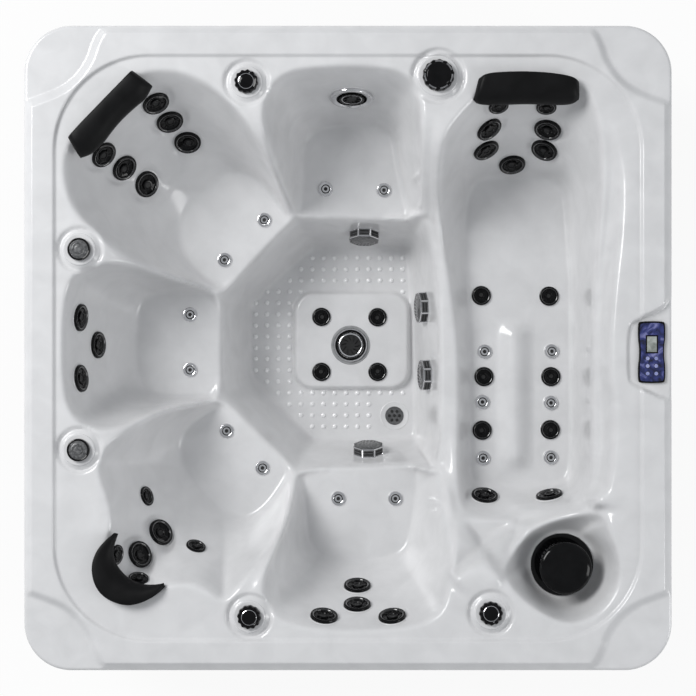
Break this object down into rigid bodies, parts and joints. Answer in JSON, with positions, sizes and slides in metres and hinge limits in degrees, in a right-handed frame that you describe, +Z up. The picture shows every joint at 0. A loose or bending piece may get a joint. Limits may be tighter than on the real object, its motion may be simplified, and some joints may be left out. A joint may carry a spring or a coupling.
{
  "type": "hot tub",
  "caption": "Square moulded hot tub with contoured seats and a lounger, water jets, head pillows, turning valve knobs, push-button control panel and lift-off filter lid",
  "frame": {"origin": "middle of the base pan's underside, on the floor", "axes": "+Z up; +Y towards the long back rim behind the lounger's headrest; +X towards the control panel and the lounger"},
  "size_m": [2.2, 2.19, 0.9297],
  "materials": {
    "acrylic": "glossy white acrylic",
    "base_plastic": "black moulded plastic",
    "timber": "treated softwood",
    "siding": "dark grey grooved board",
    "black_plastic": "black moulded plastic",
    "chrome": "polished",
    "grey_plastic": "grey moulded plastic",
    "filter_cloth": "pleated white cloth",
    "panel_blue": "dark blue overlay",
    "display": "clear window over a grey display",
    "pillow_leather": "black skinned foam",
    "motor_steel": "painted steel"
  },
  "bodies": {
    "tub": {"shell": "acrylic", "base_pan": "base_plastic", "frame": "timber", "right_panel": "siding", "back_panel": "siding", "left_panel": "siding", "front_panel": "siding", "front_left_corner": "siding", "front_right_corner": "siding", "back_left_corner": "siding", "back_right_corner": "siding", "back_left_seat_jets": "black_plastic", "back_seat_jets": "black_plastic", "left_seat_jets": "black_plastic", "front_left_seat_jets": "black_plastic", "front_seat_jets": "black_plastic", "lounger_back_jets": "black_plastic", "lounger_leg_jets": "black_plastic", "footwell_jets": "black_plastic", "suction_cover_back": "chrome", "suction_cover_right_back": "chrome", "suction_cover_right_front": "chrome", "suction_cover_front": "chrome", "drain_grate": "black_plastic", "foot_blaster": "black_plastic", "air_valve_1": "grey_plastic", "air_valve_2": "grey_plastic", "air_valve_3": "grey_plastic", "air_valve_4": "grey_plastic", "air_valve_5": "grey_plastic", "diverter_valve": "grey_plastic", "filter_canister": "grey_plastic", "filter_cartridge": "filter_cloth", "filter_weir": "black_plastic", "control_panel": "panel_blue", "display_window": "display", "back_left_pillow": "pillow_leather", "lounger_pillow": "pillow_leather", "front_left_pillow": "pillow_leather", "pump_motor": "motor_steel", "pump_volute": "black_plastic", "plumbing": "grey_plastic", "heater": "chrome", "control_box": "grey_plastic"},
    "air_knob_1": {"air_knob_1": "black_plastic"},
    "air_knob_2": {"air_knob_2": "black_plastic"},
    "air_knob_3": {"air_knob_3": "black_plastic"},
    "air_knob_4": {"air_knob_4": "black_plastic"},
    "air_knob_5": {"air_knob_5": "black_plastic"},
    "diverter_knob": {"diverter_knob": "black_plastic"},
    "foot_blaster_nozzle": {"foot_blaster_nozzle": "chrome"},
    "wide_jet_nozzle": {"wide_jet_nozzle": "black_plastic"},
    "impeller": {"impeller": "grey_plastic"},
    "filter_lid": {"filter_lid": "black_plastic"},
    "button_1": {"button_1": "grey_plastic"},
    "button_2": {"button_2": "grey_plastic"},
    "button_3": {"button_3": "grey_plastic"},
    "button_4": {"button_4": "grey_plastic"},
    "button_5": {"button_5": "grey_plastic"},
    "button_6": {"button_6": "grey_plastic"}
  },
  "joints": [
    {"name": "air_knob_1_turn", "type": "hinge", "parent": "tub", "child": "air_knob_1", "pos_m": [-0.3443, 0.90119, 0.88579], "axis": [-0.0007, -0.0016, 1], "range_deg": [0, 180]},
    {"name": "air_knob_2_turn", "type": "hinge", "parent": "tub", "child": "air_knob_2", "pos_m": [-0.9097, 0.33397, 0.88588], "axis": [0.001, 0.0008, 1], "range_deg": [0, 180]},
    {"name": "air_knob_3_turn", "type": "hinge", "parent": "tub", "child": "air_knob_3", "pos_m": [-0.9119, -0.34492, 0.88584], "axis": [0.0008, -0.0007, 1], "range_deg": [0, 180]},
    {"name": "air_knob_4_turn", "type": "hinge", "parent": "tub", "child": "air_knob_4", "pos_m": [-0.3344, -0.90995, 0.88587], "axis": [-0.0014, 0.0017, 1], "range_deg": [0, 180]},
    {"name": "air_knob_5_turn", "type": "hinge", "parent": "tub", "child": "air_knob_5", "pos_m": [0.48405, -0.89915, 0.88344], "axis": [-0.0243, 0.0795, 0.9965], "range_deg": [0, 180]},
    {"name": "diverter_turn", "type": "hinge", "parent": "tub", "child": "diverter_knob", "pos_m": [0.3058, 0.922, 0.88586], "axis": [0.0018, -0.0047, 1], "range_deg": [-90, 90]},
    {"name": "foot_blaster_spin", "type": "hinge", "parent": "tub", "child": "foot_blaster_nozzle", "pos_m": [0.0099, 0.01095, 0.14697], "axis": [0, 0, 1], "continuous": true},
    {"name": "wide_jet_spin", "type": "hinge", "parent": "tub", "child": "wide_jet_nozzle", "pos_m": [0.01321, 0.88653, 0.65068], "axis": [-0.0031, -0.9548, 0.2971], "continuous": true},
    {"name": "impeller_spin", "type": "hinge", "parent": "tub", "child": "impeller", "pos_m": [0.8, 0.19, 0.145], "axis": [0, -1, 0], "continuous": true},
    {"name": "filter_lid_lift", "type": "slide", "parent": "tub", "child": "filter_lid", "axis": [0, 0, 1], "range_m": [0, 0.12]},
    {"name": "button_1_press", "type": "slide", "parent": "tub", "child": "button_1", "axis": [0, 0, -1], "range_m": [0, 0.0008], "stiffness_N_per_m": 400},
    {"name": "button_2_press", "type": "slide", "parent": "tub", "child": "button_2", "axis": [0, 0, -1], "range_m": [0, 0.0008], "stiffness_N_per_m": 400},
    {"name": "button_3_press", "type": "slide", "parent": "tub", "child": "button_3", "axis": [0, 0, -1], "range_m": [0, 0.0008], "stiffness_N_per_m": 400},
    {"name": "button_4_press", "type": "slide", "parent": "tub", "child": "button_4", "axis": [0, 0, -1], "range_m": [0, 0.0008], "stiffness_N_per_m": 400},
    {"name": "button_5_press", "type": "slide", "parent": "tub", "child": "button_5", "axis": [0, 0, -1], "range_m": [0, 0.0008], "stiffness_N_per_m": 400},
    {"name": "button_6_press", "type": "slide", "parent": "tub", "child": "button_6", "axis": [0, 0, -1], "range_m": [0, 0.0008], "stiffness_N_per_m": 400}
  ]
}
